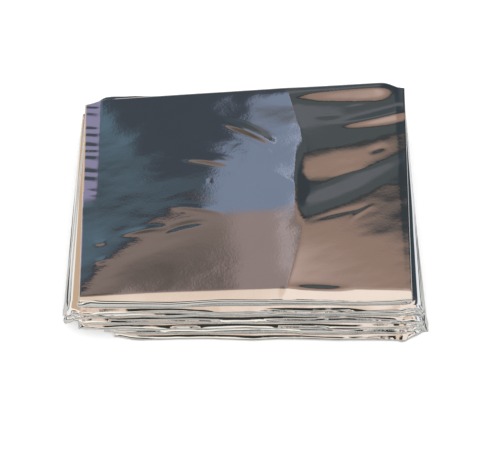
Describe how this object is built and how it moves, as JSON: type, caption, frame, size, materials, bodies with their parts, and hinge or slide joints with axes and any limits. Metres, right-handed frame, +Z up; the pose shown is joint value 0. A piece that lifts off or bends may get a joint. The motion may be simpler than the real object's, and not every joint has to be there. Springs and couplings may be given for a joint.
{
  "type": "emergency foil blanket",
  "caption": "Thin metallised film blanket folded into a flat rectangular packet, back and forth, with its folds at the front and rear and its free edge on top.",
  "frame": {"origin": "middle of the packet's box, on the surface that it lies on", "axes": "+X across the packet to the right, along its fold lines; +Y from its front folds to its rear ones; +Z up"},
  "size_m": [0.1447, 0.1121, 0.0214],
  "materials": {
    "foil": "bright metallised polyester film, mirror-like and finely creased"
  },
  "bodies": {
    "root": {"foil_blanket": "foil"}
  },
  "joints": []
}
